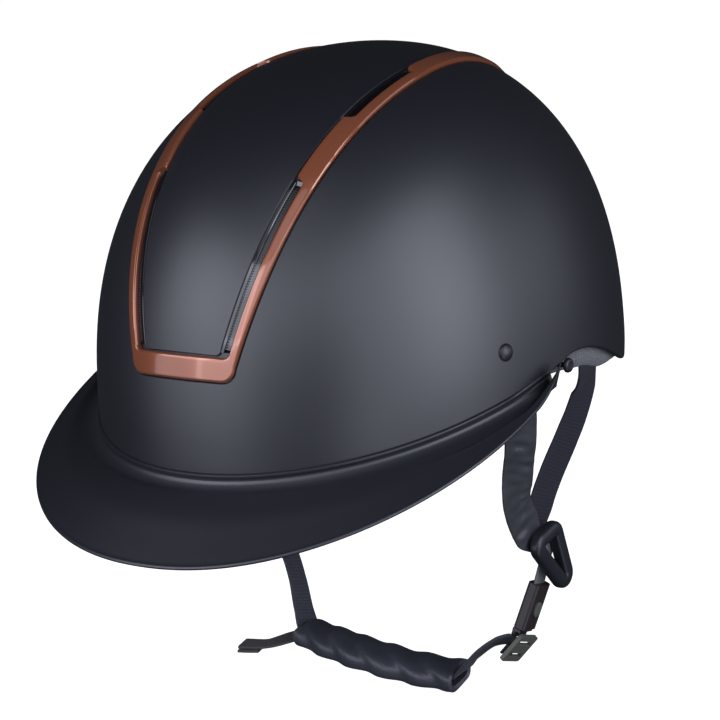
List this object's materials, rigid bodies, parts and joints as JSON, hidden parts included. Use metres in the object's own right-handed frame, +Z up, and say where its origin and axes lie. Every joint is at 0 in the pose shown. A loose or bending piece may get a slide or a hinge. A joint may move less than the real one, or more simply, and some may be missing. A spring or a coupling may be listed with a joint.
{
  "type": "equestrian riding helmet",
  "caption": "Riding helmet with a wide brim, metallic trim frame, foam liner, rear fit dial and a buckled chin harness.",
  "frame": {"origin": "middle of the head opening, at the widest level of the shell", "axes": "+Z up to the crown, -Y to the brim (front), +X to the wearer's left"},
  "size_m": [0.2294, 0.3021, 0.2845],
  "materials": {
    "shell": "matt soft-touch",
    "trim": "copper plated, polished",
    "gloss": "gloss",
    "foam": "moulded foam",
    "padding": "knitted padding",
    "roll_leather": "grained synthetic leather",
    "leather": "soft synthetic leather",
    "webbing": "woven webbing",
    "plastic": "fine-textured moulding",
    "steel": "bare"
  },
  "bodies": {
    "helmet": {"outer_shell": "shell", "brim": "shell", "trim_frame": "trim", "impact_liner": "foam", "crown_pad": "padding", "forehead_pad": "padding", "neck_pad": "padding", "front_roll": "roll_leather", "rear_roll": "roll_leather", "vent_grille_front_left": "gloss", "vent_grille_rear_left": "gloss", "temple_pad_left": "padding", "side_roll_left": "roll_leather", "side_rivet_left": "gloss", "rivet_washer_left": "steel", "liner_snap_left": "plastic", "front_strap_left": "leather", "rear_strap_left": "webbing", "divider_left": "plastic", "vent_grille_front_right": "gloss", "vent_grille_rear_right": "gloss", "temple_pad_right": "padding", "side_roll_right": "roll_leather", "side_rivet_right": "gloss", "rivet_washer_right": "steel", "liner_snap_right": "plastic", "front_strap_right": "leather", "rear_strap_right": "webbing", "divider_right": "plastic", "buckle_strap": "webbing", "buckle_housing": "plastic", "button_spring": "steel", "dial_housing": "plastic", "nape_hanger": "plastic"},
    "dial": {"dial_knob": "plastic", "dial_pinion": "plastic"},
    "band_left": {"cradle_band_left": "plastic"},
    "band_right": {"cradle_band_right": "plastic"},
    "chin_strap": {"buckle_plug": "plastic", "adjuster_slide": "plastic", "adjuster_loop": "webbing", "chin_webbing": "webbing", "chin_cover": "leather", "strap_tail": "webbing", "tail_end": "webbing"},
    "button": {"release_button": "plastic"}
  },
  "joints": [
    {"name": "dial_turn", "type": "hinge", "parent": "helmet", "child": "dial", "pos_m": [0, 0.098, -0.036], "axis": [0, -1, 0], "range_deg": [0, 180]},
    {"name": "band_left_draw", "type": "hinge", "parent": "helmet", "child": "band_left", "pos_m": [0, 0.018, -0.036], "axis": [0, 0, 1], "range_deg": [0, 12]},
    {"name": "band_right_draw", "type": "hinge", "parent": "helmet", "child": "band_right", "pos_m": [0, 0.018, -0.036], "axis": [0, 0, -1], "range_deg": [0, 12]},
    {"name": "chin_release", "type": "hinge", "parent": "helmet", "child": "chin_strap", "pos_m": [-0.078, 0.012, -0.092], "axis": [0, 1, 0], "range_deg": [0, 70]},
    {"name": "button_press", "type": "slide", "parent": "helmet", "child": "button", "axis": [-0.9499, 0.0821, 0.3016], "range_m": [0, 0.0007], "stiffness_N_per_m": 500, "deforming": ["button_spring"]}
  ],
  "couplings": [
    {"joint": "band_left_draw", "follows": "dial_turn", "ratio": 0.0625},
    {"joint": "band_right_draw", "follows": "dial_turn", "ratio": 0.0625}
  ]
}
